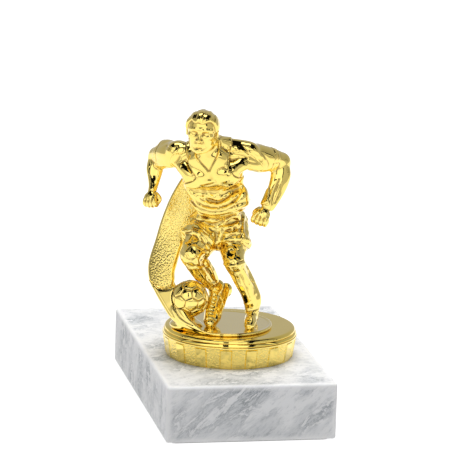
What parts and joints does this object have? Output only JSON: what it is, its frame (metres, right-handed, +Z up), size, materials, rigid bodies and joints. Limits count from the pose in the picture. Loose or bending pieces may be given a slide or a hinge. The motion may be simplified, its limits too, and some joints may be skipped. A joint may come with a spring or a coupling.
{
  "type": "figure trophy",
  "caption": "Gold football player dribbling a ball with a sweeping motion trail, on a round riser screwed to a pale marble block.",
  "frame": {"origin": "centre of the trophy's underside, in the plane of the felt that it stands on", "axes": "+Z up; X across the narrow front face of the block, its shortest extent; the narrow front face and the player look along -Y"},
  "size_m": [0.062, 0.11, 0.111],
  "materials": {
    "marble": "polished pale marble with grey veins",
    "felt": "matt dark felt",
    "washer_steel": "bright zinc-plated steel",
    "screw_steel": "bright zinc-plated steel",
    "insert_brass": "machined brass",
    "gold_riser": "mirror gold metallised plastic, stippled between smooth panels",
    "gold_cap": "mirror gold metallised plastic",
    "gold_trail": "mirror gold metallised plastic, stippled on the trail",
    "gold_ball": "mirror gold metallised plastic",
    "gold_figure": "mirror gold metallised plastic"
  },
  "bodies": {
    "base": {"marble_base": "marble", "felt_sheet": "felt", "flat_washer": "washer_steel", "lock_washer": "washer_steel"},
    "figure": {"clamp_screw": "screw_steel", "thread_insert": "insert_brass", "riser_cup": "gold_riser", "disc_cap": "gold_cap", "plinth_and_trail": "gold_trail", "football": "gold_ball", "player_front": "gold_figure", "player_back": "gold_figure", "right_arm": "gold_figure", "left_arm": "gold_figure"}
  },
  "joints": [
    {"name": "figure_turn", "type": "hinge", "parent": "base", "child": "figure", "pos_m": [0, -0.0117, 0.0206], "axis": [0, 0, 1], "continuous": true}
  ]
}
